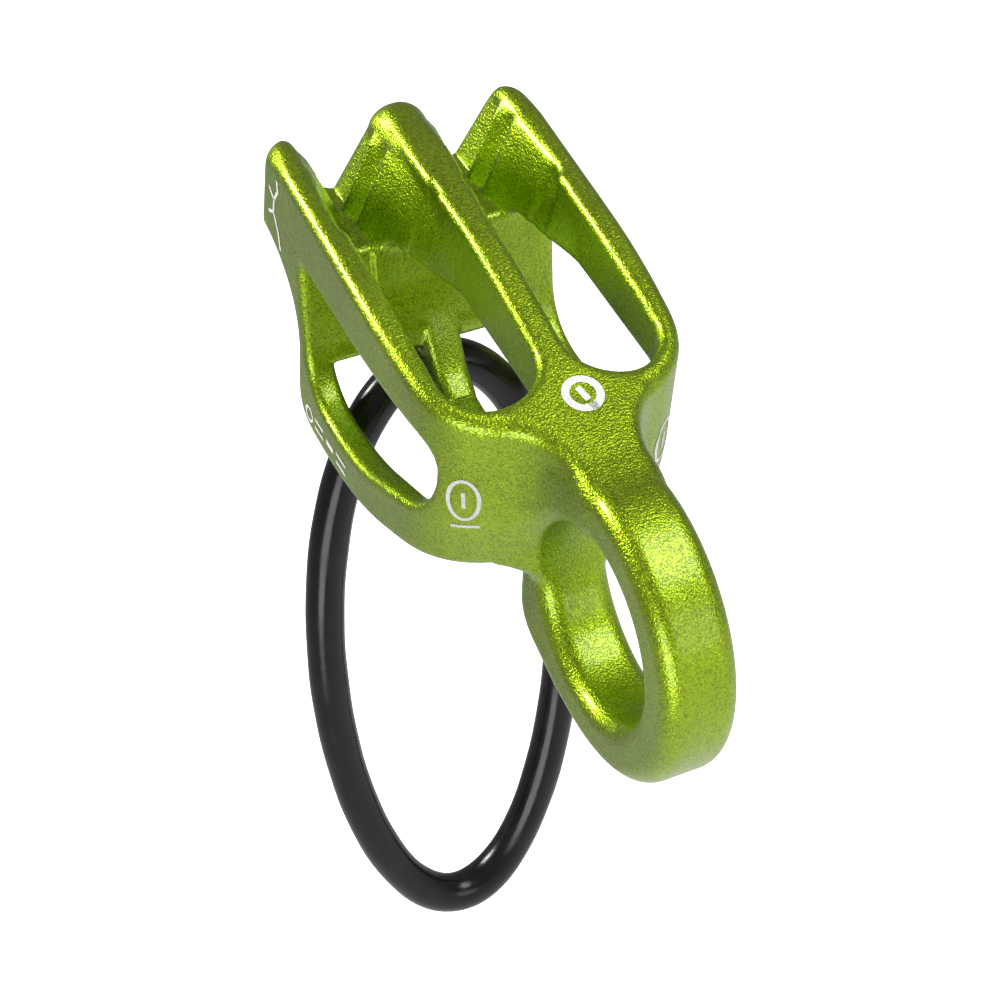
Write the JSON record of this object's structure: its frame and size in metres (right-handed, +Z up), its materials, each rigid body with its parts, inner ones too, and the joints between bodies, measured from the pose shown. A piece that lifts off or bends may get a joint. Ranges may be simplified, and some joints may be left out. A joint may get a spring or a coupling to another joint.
{
  "type": "rope descender",
  "caption": "Tube-style belay and abseil device with toothed rope grooves, a guide-mode anchor eye and a swinging plastic-covered wire keeper loop.",
  "frame": {"origin": "centre of the anchor eye, midway across its thickness", "axes": "+Y across the walls and slots, along the axis of the anchor eye; +Z straight up when the keeper loop hangs down freely; -X towards the toothed end"},
  "size_m": [0.0702, 0.0357, 0.1052],
  "materials": {
    "green_anodised_aluminium": "bead blasted and anodised lime green",
    "black_plastic": "smooth, slightly glossy",
    "steel_wire": "stranded wire",
    "ferrule_metal": "plain"
  },
  "bodies": {
    "descender_body": {"body": "green_anodised_aluminium"},
    "keeper_loop": {"loop_sleeve": "black_plastic", "wire_rope": "steel_wire", "crimp_ferrule": "ferrule_metal"}
  },
  "joints": [
    {"name": "loop_swing", "type": "hinge", "parent": "descender_body", "child": "keeper_loop", "pos_m": [-0.04517, 0, 0.01069], "axis": [0, 1, 0], "range_deg": [-17, 140]}
  ]
}
